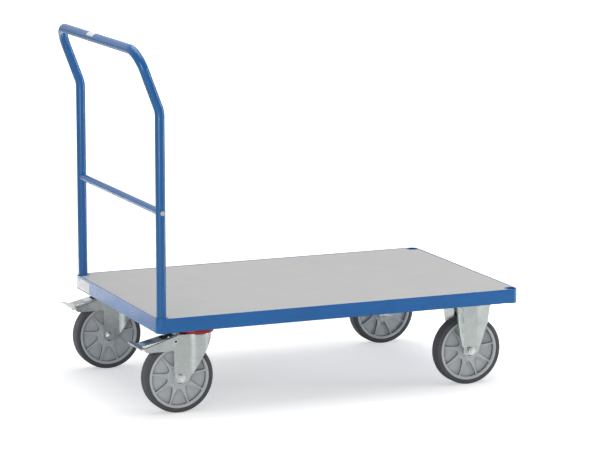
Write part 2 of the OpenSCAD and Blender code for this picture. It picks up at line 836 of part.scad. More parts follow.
translate(REAR_LEFT) pedal_rivets();  // pedal_rivets_left
translate(REAR_RIGHT) pedal_rivets();  // pedal_rivets_right
translate(REAR_LEFT) pedal();  // pedal_left
translate(REAR_RIGHT) pedal();  // pedal_right
translate(REAR_LEFT) brake_shoe();  // brake_shoe_left
translate(REAR_RIGHT) brake_shoe();  // brake_shoe_right
translate(REAR_LEFT + AXLE_BACK) tyre();  // tyre_rear_left
translate(REAR_RIGHT + AXLE_BACK) tyre();  // tyre_rear_right
translate(FRONT_LEFT) tyre();  // tyre_front_left
translate(FRONT_RIGHT) tyre();  // tyre_front_right
translate(REAR_LEFT + AXLE_BACK) rim();  // rim_rear_left
translate(REAR_RIGHT + AXLE_BACK) rim();  // rim_rear_right
translate(FRONT_LEFT) rim();  // rim_front_left
translate(FRONT_RIGHT) rim();  // rim_front_right
translate(REAR_LEFT + AXLE_BACK) bearing();  // bearing_rear_left
translate(REAR_RIGHT + AXLE_BACK) bearing();  // bearing_rear_right
translate(FRONT_LEFT) bearing();  // bearing_front_left
translate(FRONT_RIGHT) bearing();  // bearing_front_right
handle_tube();
crossbar();
crossbar_bolts();
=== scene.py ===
# %% [markdown]
# # A platform cart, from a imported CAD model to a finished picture
#
# The cart has a flat grey deck in a blue steel rim, a bent tube handle that plugs into the two rear
# corner sockets, braked swivel castors at the handle's end and fixed castors at the front.
#
# The CAD model gives every piece its place. Here the pieces get the shapes that sheet steel, tube,
# moulded plastic and rubber really have, and the materials they are made of. Everything is in metres:
# +X is the way the cart is pushed, +Y is its left side and +Z is up, with the floor at z = 0.

import json
import math

import bpy
from mathutils import Matrix, Vector

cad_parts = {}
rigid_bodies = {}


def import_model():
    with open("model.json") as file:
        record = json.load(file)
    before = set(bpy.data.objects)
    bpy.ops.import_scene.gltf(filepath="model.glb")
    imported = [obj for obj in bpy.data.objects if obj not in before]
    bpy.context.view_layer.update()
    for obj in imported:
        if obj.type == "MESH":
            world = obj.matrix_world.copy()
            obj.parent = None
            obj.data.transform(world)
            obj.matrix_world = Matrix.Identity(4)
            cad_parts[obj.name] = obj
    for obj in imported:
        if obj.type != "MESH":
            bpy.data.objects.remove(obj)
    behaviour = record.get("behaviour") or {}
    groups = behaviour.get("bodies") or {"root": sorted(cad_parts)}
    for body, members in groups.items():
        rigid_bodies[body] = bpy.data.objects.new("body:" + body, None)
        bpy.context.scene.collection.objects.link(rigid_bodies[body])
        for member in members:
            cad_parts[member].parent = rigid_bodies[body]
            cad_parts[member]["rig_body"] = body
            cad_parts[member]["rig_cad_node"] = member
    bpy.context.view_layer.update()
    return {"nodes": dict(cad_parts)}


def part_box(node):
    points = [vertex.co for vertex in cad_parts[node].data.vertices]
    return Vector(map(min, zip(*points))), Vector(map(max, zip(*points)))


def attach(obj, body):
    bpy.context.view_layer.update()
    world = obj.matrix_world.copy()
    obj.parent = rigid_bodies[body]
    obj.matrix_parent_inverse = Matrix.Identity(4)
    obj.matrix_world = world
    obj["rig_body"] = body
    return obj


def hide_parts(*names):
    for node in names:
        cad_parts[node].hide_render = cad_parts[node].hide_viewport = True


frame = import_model()
nodes = frame["nodes"]

# %% [markdown]
# ## Where things are
#
# Every position comes from the CAD model itself.

# %% Measure the CAD model
def middle(node):
    """The middle of a node's box."""
    low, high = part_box(node)
    return (low + high) / 2


SIDES = ("left", "right")
WHEELS = ("rear_left", "rear_right", "front_left", "front_right")
wheel_middle = {w: middle("tyre_" + w) for w in WHEELS}
wheel_radius = wheel_middle["rear_left"].z
deck_low, deck_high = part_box("deck_board")
rim_low, rim_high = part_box("rail_rear")
handle_low, handle_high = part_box("handle_tube")
deck_middle = (deck_low + deck_high) / 2
print("wheel radius in mm:", round(wheel_radius * 1000, 1), " deck top:", round(rim_high.z * 1000, 1))

# %% [markdown]
# ## The camera and the studio
#
# The camera stands well back with a long lens, to the left of the cart's near side and a little above
# the deck. `right`, `up` and `back` are the camera's own directions, and the aim is a point a little
# above the deck's middle.

# %% Aim the camera
scene = bpy.context.scene
turn, tilt = math.radians(-22.876), math.radians(10.179)
right = Vector((math.cos(turn), math.sin(turn), 0))
back = Vector((math.sin(turn) * math.cos(tilt), -math.cos(turn) * math.cos(tilt), math.sin(tilt)))
up = back.cross(right)
aim = Vector((deck_middle.x, 0, 0.450)) + right * 0.016071 - up * 0.00961

bpy.ops.object.camera_add(location=aim + back * 8.35798)
camera = bpy.context.object
camera.name = "camera"
camera.rotation_euler = back.to_track_quat("Z", "Y").to_euler()
camera.data.sensor_width = 36
camera.data.lens = 173.735
camera.data.clip_end = 100
scene.camera = camera
print("camera at", [round(c, 3) for c in camera.location])

# %% [markdown]
# The studio is a dim room with a white backdrop that only the camera sees, so glossy paint and zinc
# have something dark to reflect beside the lamps. A wide softbox hangs overhead, and weaker ones stand
# in front and to the right. Two lamps behind and beside the cart shine straight down on the sheet that
# it stands on: the bright pools they make there are what the zinc and the rear rail reflect.

# %% Light the studio
scene.view_settings.view_transform = "Standard"
world = bpy.data.worlds.new("dim_room")
scene.world = world
world.use_nodes = True
sky = world.node_tree.nodes["Background"]
sky.inputs["Color"].default_value = (1, 1, 1, 1)
direction = world.node_tree.nodes.new("ShaderNodeTexCoord")
parts = world.node_tree.nodes.new("ShaderNodeSeparateXYZ")
room = world.node_tree.nodes.new("ShaderNodeMapRange")
for key, number in (("From Min", -0.7), ("From Max", 0.7), ("To Min", 0.22), ("To Max", 0.72)):
    room.inputs[key].default_value = number
looked_at = world.node_tree.nodes.new("ShaderNodeLightPath")
backdrop = world.node_tree.nodes.new("ShaderNodeMix")
backdrop.inputs["B"].default_value = 1.05
world.node_tree.links.new(direction.outputs["Generated"], parts.inputs["Vector"])
world.node_tree.links.new(parts.outputs["Y"], room.inputs["Value"])
world.node_tree.links.new(looked_at.outputs["Is Camera Ray"], backdrop.inputs["Factor"])
world.node_tree.links.new(room.outputs["Result"], backdrop.inputs["A"])
world.node_tree.links.new(backdrop.outputs["Result"], sky.inputs["Strength"])


def softbox(name, place, target, width, height, power, spread_angle=180):
    """A rectangular area light that looks at a target."""
    bpy.ops.object.light_add(type="AREA", location=place)
    lamp = bpy.context.object
    lamp.name = name
    lamp.data.shape = "RECTANGLE"
    lamp.data.size, lamp.data.size_y = width, height
    lamp.data.energy = power
    lamp.data.spread = math.radians(spread_angle)
    lamp.rotation_euler = (Vector(place) - Vector(target)).to_track_quat("Z", "Y").to_euler()
    return lamp


softbox("overhead_softbox", (0.3, 0.2, 3.6), (0, 0, 0.2), 3.4, 3.0, 76)
softbox("left_softbox", (-3.0, -3.3, 0.95), (0, 0, 0.25), 1.6, 1.9, 42)
softbox("right_strip", (3.9, -1.7, 1.0), (0, 0, 0.3), 0.7, 2.0, 36)
softbox("floor_lamp_right", (1.9, 0.1, 1.5), (1.9, 0.1, 0), 1.2, 1.8, 40, 70)
softbox("floor_lamp_back", (-1.2, 1.7, 1.4), (-1.2, 1.7, 0), 1.4, 1.2, 11, 60)

# %% [markdown]
# The floor is one large pale sheet. It is lifted to white where it is looked at directly, as a paper
# sweep with its own lamps is, while the light that it throws back onto the cart stays natural.

# %% Floor
bpy.ops.mesh.primitive_plane_add(size=60, location=(0, 0, 0))
floor = bpy.context.object
floor.name = "studio_floor"
paper = bpy.data.materials.new("floor_paper")
paper.use_nodes = True
paper_shader = paper.node_tree.nodes["Principled BSDF"]
paper_shader.inputs["Base Color"].default_value = (0.75, 0.75, 0.75, 1)
paper_shader.inputs["Roughness"].default_value = 0.9
paper_shader.inputs["Specular IOR Level"].default_value = 0.1
paper_shader.inputs["Emission Color"].default_value = (1, 1, 1, 1)
seen = paper.node_tree.nodes.new("ShaderNodeLightPath")
spot = paper.node_tree.nodes.new("ShaderNodeTexCoord")
away = paper.node_tree.nodes.new("ShaderNodeVectorMath")
away.operation = "LENGTH"
lift = paper.node_tree.nodes.new("ShaderNodeMapRange")
for key, number in (("From Min", 1.2), ("From Max", 5.0), ("To Min", 0.50), ("To Max", 1.1)):
    lift.inputs[key].default_value = number
shown = paper.node_tree.nodes.new("ShaderNodeMath")
shown.operation = "MULTIPLY"
paper.node_tree.links.new(spot.outputs["Object"], away.inputs[0])
paper.node_tree.links.new(away.outputs["Value"], lift.inputs["Value"])
paper.node_tree.links.new(lift.outputs["Result"], shown.inputs[0])
paper.node_tree.links.new(seen.outputs["Is Camera Ray"], shown.inputs[1])
paper.node_tree.links.new(shown.outputs["Value"], paper_shader.inputs["Emission Strength"])
floor.data.materials.append(paper)

# %% [markdown]
# ## Materials
#
# Each material reads Object coordinates, which are metres from the frame's origin, so that a grain of
# 1 mm is 1 mm on every piece. Small helpers add the nodes: `noise` gives a cloudy value from 0 to 1,
# `blend` mixes two colours by it, and `spread` turns it into a range of numbers.

# %% Material helpers
def add(mat, kind, **values):
    """Adds one node and sets its plain properties."""
    node = mat.node_tree.nodes.new(kind)
    for key, value in values.items():
        setattr(node, key, value)
    return node


def start(name):
    """A new material with its main shader and object coordinates."""
    mat = bpy.data.materials.new(name)
    mat.use_nodes = True
    coords = add(mat, "ShaderNodeTexCoord").outputs["Object"]
    return mat, mat.node_tree.nodes["Principled BSDF"], coords


def noise(mat, coords, scale, detail=3.0, stretch=(1, 1, 1)):
    """Noise with features 1 / scale metres across, drawn out along the axes where stretch is small."""
    mapping = add(mat, "ShaderNodeMapping")
    mapping.inputs["Scale"].default_value = stretch
    texture = add(mat, "ShaderNodeTexNoise")
    texture.inputs["Scale"].default_value = scale
    texture.inputs["Detail"].default_value = detail
    mat.node_tree.links.new(coords, mapping.inputs["Vector"])
    mat.node_tree.links.new(mapping.outputs["Vector"], texture.inputs["Vector"])
    return texture.outputs["Fac"]


def spread(mat, value, low, high, start_at=0.3, end_at=0.7):
    """Turns a value between start_at and end_at into a number between low and high."""
    node = add(mat, "ShaderNodeMapRange")
    mat.node_tree.links.new(value, node.inputs["Value"])
    for key, number in (("From Min", start_at), ("From Max", end_at), ("To Min", low), ("To Max", high)):
        node.inputs[key].default_value = number
    return node.outputs["Result"]


def blend(mat, value, first, second):
    """Mixes two colours, or a colour and another node's colour, by a value."""
    node = add(mat, "ShaderNodeMix", data_type="RGBA")
    mat.node_tree.links.new(value, node.inputs["Factor"])
    for socket, colour in (("A", first), ("B", second)):
        target = [s for s in node.inputs if s.name == socket and s.type == "RGBA"][0]
        if isinstance(colour, tuple):
            target.default_value = (*colour, 1)
        else:
            mat.node_tree.links.new(colour, target)
    return [s for s in node.outputs if s.type == "RGBA"][0]


def bump(mat, height, strength, depth, under=None):
    """A bump of that depth in metres, on top of another bump if one is given."""
    node = add(mat, "ShaderNodeBump")
    node.inputs["Strength"].default_value = strength
    node.inputs["Distance"].default_value = depth
    mat.node_tree.links.new(height, node.inputs["Height"])
    if under is not None:
        mat.node_tree.links.new(under, node.inputs["Normal"])
    return node.outputs["Normal"]


def join(mat, output, shader, socket):
    mat.node_tree.links.new(output, shader.inputs[socket])


def shade(colour, factor):
    """A colour made darker or lighter."""
    return tuple(min(1.0, c * factor) for c in colour)


# %% [markdown]
# ### Blue powder coat
#
# Powder coat flows out in the oven into a glossy skin with a fine ripple, like orange peel. Its colour
# is even, with a very slight cloudiness, and it carries a few dull handling marks.

# %% Paint
def powder_coat(name, colour):
    mat, shader, coords = start(name)
    clouds = noise(mat, coords, 9, 4)
    specks = noise(mat, coords, 1400, 2)
    tinted = blend(mat, spread(mat, clouds, 0, 1), shade(colour, 0.93), shade(colour, 1.07))
    marked = blend(mat, spread(mat, specks, 0, 0.10, 0.55, 0.75), tinted, shade(colour, 1.6))
    join(mat, marked, shader, "Base Color")
    join(mat, spread(mat, noise(mat, coords, 30, 5), 0.27, 0.37), shader, "Roughness")
    join(mat, bump(mat, noise(mat, coords, 700, 1), 0.03, 0.00003), shader, "Normal")
    shader.inputs["Specular IOR Level"].default_value = 0.35
    shader.inputs["Coat Weight"].default_value = 0.5
    shader.inputs["Coat Roughness"].default_value = 0.08
    return mat


frame_paint = powder_coat("frame_paint", (0.003, 0.140, 0.445))
handle_paint = powder_coat("handle_paint", (0.008, 0.135, 0.40))
print("paints:", frame_paint.name, handle_paint.name)

# %% [markdown]
# ### Zinc-plated sheet and fasteners
#
# Bright zinc is a metal with a slightly blue-green cast. The rolled sheet keeps faint streaks, which go
# into the roughness as well as the colour, and the bath leaves soft clouds in its colour and its shine.

# %% Zinc
def zinc(name, colour, dull, bright, streaks=(1, 1, 9), relief=1.0):
    mat, shader, coords = start(name)
    clouds = noise(mat, coords, 38, 4)
    lines = noise(mat, coords, 160, 3, streaks)
    base = blend(mat, spread(mat, clouds, 0, 1), shade(colour, 0.90), shade(colour, 1.06))
    join(mat, blend(mat, spread(mat, lines, 0, 0.30), base, shade(colour, 0.80)), shader, "Base Color")
    join(mat, spread(mat, lines, bright, dull), shader, "Roughness")
    scratches = bump(mat, noise(mat, coords, 900, 2, streaks), 0.10 * relief, 0.00004)
    join(mat, bump(mat, clouds, 0.08 * relief, 0.0003, scratches), shader, "Normal")
    shader.inputs["Metallic"].default_value = 1.0
    return mat


zinc_sheet = zinc("zinc_sheet", (0.63, 0.675, 0.665), 0.34, 0.20, relief=0.5)
zinc_bright = zinc("zinc_bright", (0.88, 0.91, 0.90), 0.24, 0.12, (1, 1, 1), 0.3)
# painted highlight: a near-white zinc for the rounded sheared edges, also used on the pedal rivet heads
zinc_edge = zinc("zinc_edge", (0.97, 0.98, 0.98), 0.50, 0.40, (1, 1, 1), 0.3)
bearing_steel = zinc("bearing_steel", (0.50, 0.50, 0.49), 0.36, 0.22, (1, 1, 1))

# %% [markdown]
# ### Deck, wheels and small plastics
#
# The deck is a board with a satin grey face: a fine grain of its own, faint clouds and some dull
# rubbed patches. The rims are moulded grey plastic, the tyres soft grey rubber.

# %% Deck, plastics and rubber
def plastic(name, colour, rough, grain, depth, clouds_share=0.05, fleck=1.25, fleck_share=0.18):
    """A satin surface with clouds, fine flecks and a grain of that many features per metre."""
    mat, shader, coords = start(name)
    clouds = noise(mat, coords, 7, 5)
    flecks = noise(mat, coords, grain, 2)
    dark, light = shade(colour, 1 - clouds_share), shade(colour, 1 + clouds_share)
    base = blend(mat, spread(mat, clouds, 0, 1), dark, light)
    flecked = blend(mat, spread(mat, flecks, 0, fleck_share, 0.5, 0.7), base, shade(colour, fleck))
    join(mat, flecked, shader, "Base Color")
    join(mat, spread(mat, noise(mat, coords, 22, 6), rough - 0.05, rough + 0.06), shader, "Roughness")
    join(mat, bump(mat, flecks, 0.25, depth), shader, "Normal")
    return mat


deck_face = plastic("deck_face", (0.49, 0.49, 0.487), 0.55, 1300, 0.00006, 0.02, 1.12, 0.25)
deck_edge = plastic("deck_edge", (0.030, 0.028, 0.026), 0.70, 500, 0.0002, 0.1)
rim_plastic = plastic("rim_plastic", (0.58, 0.615, 0.63), 0.33, 1100, 0.00006, 0.03)
# painted highlight: a lighter plastic for the rounded edges of the rim's spokes and pockets
rim_edge = plastic("rim_edge", (0.80, 0.83, 0.84), 0.30, 1100, 0.00006, 0.03)
# painted shade: a dark plastic for the steep walls of the rim's pockets
rim_grime = plastic("rim_grime", (0.13, 0.135, 0.14), 0.55, 900, 0.00008, 0.20)
tyre_rubber = plastic("tyre_rubber", (0.085, 0.088, 0.098), 0.58, 800, 0.0002, 0.08, 1.5, 0.3)
black_plastic = plastic("black_plastic", (0.018, 0.018, 0.020), 0.45, 900, 0.0001, 0.08)
brake_rubber = plastic("brake_rubber", (0.022, 0.022, 0.022), 0.75, 700, 0.0002, 0.08)
red_plastic = plastic("red_plastic", (0.38, 0.008, 0.014), 0.24, 900, 0.00003, 0.04)
label_film = plastic("label_film", (0.84, 0.85, 0.86), 0.34, 1500, 0.00002, 0.01, 1.02, 0.1)

print(len(bpy.data.materials), "materials")

# %% [markdown]
# ## Working in edit mode
#
# These helpers do by script what a modeller does by hand: pick one object, pick faces or edges by
# where they are, then press the usual tool. `settle` ends each piece. It puts the piece's place into
# its mesh, smooths the shading where the angle is small, keeps large faces flat beside their rounded
# edges and hangs the piece on its CAD body.

# %% Edit-mode helpers
def activate(obj):
    if bpy.context.object and bpy.context.object.mode != "OBJECT":
        bpy.ops.object.mode_set(mode="OBJECT")
    bpy.ops.object.select_all(action="DESELECT")
    obj.select_set(True)
    bpy.context.view_layer.objects.active = obj


def pick(obj, kind, test):
    """Selects in edit mode what passes the test: faces by (middle, normal), edges by their two ends."""
    activate(obj)
    bpy.ops.object.mode_set(mode="EDIT")
    bpy.ops.mesh.select_mode(type=kind)
    bpy.ops.mesh.select_all(action="DESELECT")
    bpy.ops.object.mode_set(mode="OBJECT")
    mesh = obj.data
    chosen = 0
    if kind == "FACE":
        for face in mesh.polygons:
            face.select = test(face.center, face.normal)
            chosen += face.select
    else:
        for edge in mesh.edges:
            ends = [mesh.vertices[i].co for i in edge.vertices]
            edge.select = test(*ends)
            chosen += edge.select
    bpy.ops.object.mode_set(mode="EDIT")
    return chosen


def slide(x=0, y=0, z=0):
    """Extrudes what is selected and moves it."""
    bpy.ops.mesh.extrude_region_move(TRANSFORM_OT_translate={"value": (x, y, z)})


def clean(obj, gap=1e-6):
    """Merges doubled points and turns all faces outwards."""
    activate(obj)
    bpy.ops.object.mode_set(mode="EDIT")
    bpy.ops.mesh.select_all(action="SELECT")
    bpy.ops.mesh.remove_doubles(threshold=gap)
    bpy.ops.mesh.normals_make_consistent(inside=False)
    bpy.ops.object.mode_set(mode="OBJECT")


def soften(obj, width, segments=2, angle=30, edge_index=-1):
    """Rounds every edge sharper than the angle; the new faces may take another material slot."""
    activate(obj)
    tool = obj.modifiers.new("round", "BEVEL")
    tool.width, tool.segments, tool.limit_method = width, segments, "ANGLE"
    tool.angle_limit = math.radians(angle)
    tool.material = edge_index
    bpy.ops.object.modifier_apply(modifier=tool.name)


def settle(obj, name, body, material, slot, *stands_for, smooth=35):
    """Finishes a piece: name, material, shading, body and the CAD nodes that it stands for."""
    activate(obj)
    bpy.ops.object.transform_apply(location=True, rotation=True, scale=True)
    bpy.ops.object.shade_smooth_by_angle(angle=math.radians(smooth))
    flat = obj.modifiers.new("keep_faces_flat", "WEIGHTED_NORMAL")
    flat.keep_sharp, flat.weight = True, 90
    bpy.ops.object.modifier_apply(modifier=flat.name)
    obj.name = obj.data.name = name
    if material is not None:
        obj.data.materials.clear()
        obj.data.materials.append(material)
    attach(obj, body)
    if stands_for:
        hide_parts(*stands_for)
    return obj


def body_of(node):
    return nodes[node]["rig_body"]


def worked_copy(node, name, material, slot, width, segments=2, angle=30, fold=None, edge=None):
    """A copy of a CAD node with its flat faces made whole and its edges rounded as real ones are.

    fold gives a test for edges and a wider radius for them; edge is a material for the rounded edges.
    """
    piece = nodes[node].copy()
    piece.data = nodes[node].data.copy()
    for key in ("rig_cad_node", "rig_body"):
        if key in piece:
            del piece[key]
    scene.collection.objects.link(piece)
    piece.parent = None
    if piece.data.has_custom_normals:
        activate(piece)
        bpy.ops.mesh.customdata_custom_splitnormals_clear()
    clean(piece, 2e-6)
    activate(piece)
    bpy.ops.object.mode_set(mode="EDIT")
    bpy.ops.mesh.select_all(action="SELECT")
    bpy.ops.mesh.dissolve_limited(angle_limit=math.radians(0.3))
    bpy.ops.object.mode_set(mode="OBJECT")
    piece.data.materials.clear()
    piece.data.materials.append(material)
    if edge is not None:
        piece.data.materials.append(edge)
    if fold is not None:
        print(name, "folded edges:", pick(piece, "EDGE", fold[0]))
        bpy.ops.mesh.bevel(offset=fold[1], segments=4, affect="EDGES")
        bpy.ops.object.mode_set(mode="OBJECT")
        clean(piece)
    soften(piece, width, segments, angle, 1 if edge is not None else -1)
    return settle(piece, name, body_of(node), None, slot, node, smooth=angle)


# %% [markdown]
# ## The frame
#
# Sheet steel has no sharp edges: a pressed corner is rounded by about the sheet's own thickness, and
# paint rounds what is left. The rails, sockets and cross channels keep their CAD shape and get these
# small radii, which is what catches the light along the rim.

# %% Rails, sockets and channels
for side in ("left", "right", "rear", "front"):
    worked_copy(f"rail_{side}", f"rim_rail_{side}", frame_paint, "frame_paint", 0.0008)
for corner in WHEELS:
    worked_copy(f"socket_{corner}", f"corner_socket_{corner}", frame_paint, "frame_paint", 0.0010, 2, 40)
for place in ("rear", "middle", "front"):
    worked_copy(f"bearer_{place}", f"cross_channel_{place}", frame_paint, "frame_paint", 0.0008)

# %% The deck board
board = worked_copy("deck_board", "deck_panel", deck_face, "deck_board", 0.0006, 2)
board.data.materials.append(deck_edge)
for face in board.data.polygons:
    face.material_index = 0 if abs(face.normal.z) > 0.97 else 1
print("deck panel faces:", len(board.data.polygons))

# %% [markdown]
# ## The push handle
#
# One tube makes the whole handle. It starts as a ring at the foot of the left leg. The ring is pulled
# up to the kink, spun a little backwards, pulled on up the slope, spun over the top corner, pulled
# across, and brought down the other side in the same way.

# %% Bend the handle tube
tube_radius = 0.0135
socket_middle = middle("socket_rear_left")
leg_x, leg_y = socket_middle.x, socket_middle.y
foot = handle_low.z
lean_sine, lean_cosine = 0.352, 0.936
lean = math.atan2(lean_sine, lean_cosine)
kink_radius, corner_radius = 0.070, 0.058
top = handle_high.z - tube_radius
top_x = handle_low.x + tube_radius
slope = (leg_x - top_x) / lean_sine
kink = top - slope * lean_cosine
kink_tangent = kink_radius * math.tan(lean / 2)

bpy.ops.mesh.primitive_circle_add(vertices=48, radius=tube_radius, location=(leg_x, leg_y, foot))
handle = bpy.context.object
bpy.ops.object.transform_apply(location=True)
bpy.ops.object.mode_set(mode="EDIT")
bpy.ops.mesh.select_all(action="SELECT")


def spin(steps, angle, centre, axis):
    """Spins what is selected by the right-hand rule; the tool itself turns the other way."""
    bpy.ops.mesh.spin(steps=steps, angle=-angle, center=centre, axis=axis)


leg_top = kink - kink_tangent
slide(z=leg_top - foot)
spin(10, lean, (leg_x - kink_radius, leg_y, leg_top), (0, -1, 0))
slope_run = slope - kink_tangent - corner_radius
slide(x=-slope_run * lean_sine, z=slope_run * lean_cosine)
corner_start = Vector((top_x, leg_y, top)) - corner_radius * Vector((-lean_sine, 0, lean_cosine))
spin(24, math.pi / 2, corner_start - Vector((0, corner_radius, 0)), (lean_cosine, 0, lean_sine))
slide(y=-2 * (leg_y - corner_radius))
far_corner = Vector((corner_start.x, -corner_start.y + corner_radius, corner_start.z))
spin(24, math.pi / 2, far_corner, (lean_cosine, 0, lean_sine))
slide(x=slope_run * lean_sine, z=-slope_run * lean_cosine)
spin(10, lean, (leg_x - kink_radius, -leg_y, leg_top), (0, 1, 0))
slide(z=foot - leg_top)
bpy.ops.object.mode_set(mode="OBJECT")
clean(handle)
box_now = [tuple(round(c * 1000, 1) for c in corner) for corner in (handle.bound_box[0], handle.bound_box[6])]
cad_box_now = [tuple(round(c * 1000, 1) for c in p) for p in (handle_low, handle_high)]
print("handle box in mm:", box_now, "CAD:", cad_box_now)
settle(handle, "handle_bent_tube", "push_handle", handle_paint, "handle_paint", "handle_tube", smooth=60)

# %% [markdown]
# The crossbar is a thinner tube between the legs. Its ends are cut to sit round the legs, so here they
# run just inside the leg's skin. A bolt from outside holds each end.

# %% Crossbar
bar = middle("crossbar")
bar_radius = (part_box("crossbar")[1].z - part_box("crossbar")[0].z) / 2
BAR_REACH = 0.7  # how far the bar's end runs towards a leg's axis, as a share of the leg's radius
bpy.ops.mesh.primitive_cylinder_add(
    vertices=40, radius=bar_radius, depth=2 * (leg_y - tube_radius * BAR_REACH),
    location=bar, rotation=(math.pi / 2, 0, 0)
)
crossbar = bpy.context.object
settle(crossbar, "handle_crossbar", "push_handle", handle_paint, "handle_paint", "crossbar", smooth=60)
worked_copy("crossbar_bolts", "crossbar_bolt_heads", zinc_bright, "fasteners", 0.0008)

# %% [markdown]
# ## Wheels
#
# A wheel is drawn lying flat, with its axle along Z, and only its upper half. The half rim starts as a
# circle at the bore. It is pulled outwards ring by ring, stepping up and down as the moulding does.

# %% Rings of the rim
SPOKES, STEPS = 9, 12
rings = [  # radius and height over the wheel's middle plane, in mm
    (16.4, 25), (22.2, 25), (23, 24.2), (23.4, 16.6), (24.2, 16), (31.2, 16), (32, 15.2),
    (34, 15), (36, 15), (39, 15), (43, 15), (48, 15), (54, 15), (60, 15), (66, 15), (72, 15), (78.4, 15),
    (79.4, 17.6), (80.4, 19.1), (81.6, 19.5), (86, 19.5), (86.8, 18.9), (86.8, 16.5), (84, 13.5), (84, 0),
]
MM = 0.001
bpy.ops.mesh.primitive_circle_add(vertices=SPOKES * STEPS, radius=rings[0][0] * MM, location=(0, 0, 0))
rim = bpy.context.object
bpy.ops.object.mode_set(mode="EDIT")
bpy.ops.mesh.select_all(action="SELECT")
radius, height = rings[0][0], 0
for next_radius, next_height in rings:
    bpy.ops.mesh.extrude_region_move(TRANSFORM_OT_translate={"value": (0, 0, (next_height - height) * MM)})
    share = next_radius / radius
    bpy.ops.transform.resize(value=(share, share, 1), center_override=(0, 0, 0))
    radius, height = next_radius, next_height
bpy.ops.object.mode_set(mode="OBJECT")
print("rim rings:", len(rings), "points:", len(rim.data.vertices))

# %% [markdown]
# The spokes flare out towards the hub like a trumpet. Each of the rim's radial lines is turned a little
# about the axle so that two of them follow a spoke's sides, and the faces between spokes are sunk. The
# rounded edges of the pockets get a lighter plastic as a painted highlight, and their steep walls a dark one
# as painted shade.

# %% Spokes and pockets
POCKET_IN, POCKET_OUT = 34, 78.4


def clamped(value):
    return max(0.0, min(1.0, value))


def spoke_angle(radius):
    """Half the angle that a spoke takes up at a radius in mm."""
    inward = clamped((POCKET_OUT - radius) / (POCKET_OUT - POCKET_IN))
    return math.atan((2.1 + 0.9 * inward + 5.2 * inward**3) / radius)


sector = 2 * math.pi / SPOKES
for point in rim.data.vertices:
    distance = math.hypot(point.co.x, point.co.y)
    line = round(math.atan2(point.co.y, point.co.x) / (sector / STEPS))
    spoke, step = divmod(line + STEPS // 2, STEPS)
    step -= STEPS // 2
    side = math.copysign(1, step)
    fade = clamped((86 * MM - distance) / (6 * MM)) * clamped((distance - 24 * MM) / (8 * MM))
    half = spoke_angle(max(distance / MM, 30))
    place = half * abs(step)
    if abs(step) > 1:
        place = half + (sector / 2 - half) * (abs(step) - 1) / (STEPS / 2 - 1)
    angle = spoke * sector + side * (place * fade + abs(step) * sector / STEPS * (1 - fade))
    point.co.x, point.co.y = distance * math.cos(angle), distance * math.sin(angle)


def in_pocket(middle_point, _normal):
    distance = math.hypot(middle_point.x, middle_point.y) / MM
    angle = math.atan2(middle_point.y, middle_point.x)
    off_spoke = abs((angle + sector / 2) % sector - sector / 2)
    on_face = POCKET_IN < distance < POCKET_OUT and middle_point.z > 14.5 * MM
    return on_face and off_spoke > 1.02 * spoke_angle(distance)


def is_pocket_corner(a, b):
    upright = abs(a.z - b.z) > 4 * MM and math.hypot(a.x - b.x, a.y - b.y) < 0.1 * MM
    distance = math.hypot(a.x, a.y) / MM
    at_end = abs(distance - POCKET_IN) < 0.6 or abs(distance - POCKET_OUT) < 0.6
    off_spoke = abs((math.atan2(a.y, a.x) + sector / 2) % sector - sector / 2)
    return upright and at_end and abs(off_spoke - spoke_angle(distance)) < math.radians(0.4)


print("pocket faces:", pick(rim, "FACE", in_pocket))
slide(z=-6.6 * MM)
print("pocket corners:", pick(rim, "EDGE", is_pocket_corner))
bpy.ops.mesh.bevel(offset=2.6 * MM, segments=4, affect="EDGES")
bpy.ops.object.mode_set(mode="OBJECT")
for material in (rim_plastic, rim_edge, rim_grime):
    rim.data.materials.append(material)
soften(rim, 0.8 * MM, 2, 28, 1)
# Slot 1 carries the painted highlight on rounded edges between the hub and the outer lip, slot 2 the painted
# shade on the pockets' steep walls.
for face in rim.data.polygons:
    reach = face.center.xy.length / MM
    if face.material_index == 1 and (reach > 80 or reach < POCKET_IN - 3):
        face.material_index = 0
    elif face.material_index == 0 and abs(face.normal.z) < 0.35:
        if POCKET_IN - 1 < reach < 79 and face.center.z > 8 * MM:
            face.material_index = 2
mirror = rim.modifiers.new("other_side", "MIRROR")
mirror.use_axis = (False, False, True)
mirror.merge_threshold = 0.01 * MM
activate(rim)
bpy.ops.object.modifier_apply(modifier=mirror.name)
clean(rim)
print("whole rim:", len(rim.data.polygons), "faces")

# %% [markdown]
# ### The tyre
#
# The tyre is a short cylinder. Its two ends are inset to the rim's edge and deleted, the two open
# loops are bridged through the inside, and the tread's corners are rounded. A fine moulding line runs
# round each side.

# %% Tyre
half_width = 20 * MM
bpy.ops.mesh.primitive_cylinder_add(
    vertices=128, radius=wheel_radius, depth=2 * half_width, location=(0, 0, 0)
)
tyre = bpy.context.object
pick(tyre, "EDGE", lambda a, b: abs(a.z - b.z) < 1e-6 and min(a.xy.length, b.xy.length) > 0.099)
bpy.ops.mesh.bevel(offset=5.5 * MM, segments=7, affect="EDGES")
pick(tyre, "FACE", lambda c, n: abs(n.z) > 0.99 and c.xy.length < 0.01)
print("tyre sides to inset:", sum(f.select for f in tyre.data.polygons))
for step_in, step_out in ((1.6, 0.0), (0.5, 0.35), (0.9, 0.0), (0.5, -0.35), (3.0, 0.0)):
    bpy.ops.mesh.inset(thickness=step_in * MM, depth=step_out * MM, use_individual=True)
bpy.ops.mesh.inset(thickness=0.5 * MM, depth=-0.4 * MM, use_individual=True)
bpy.ops.mesh.inset(thickness=1.4 * MM, depth=-1.8 * MM, use_individual=True)
bpy.ops.mesh.delete(type="FACE")
bpy.ops.mesh.select_mode(type="EDGE")
bpy.ops.mesh.select_all(action="DESELECT")
bpy.ops.mesh.select_non_manifold()
bpy.ops.mesh.bridge_edge_loops()
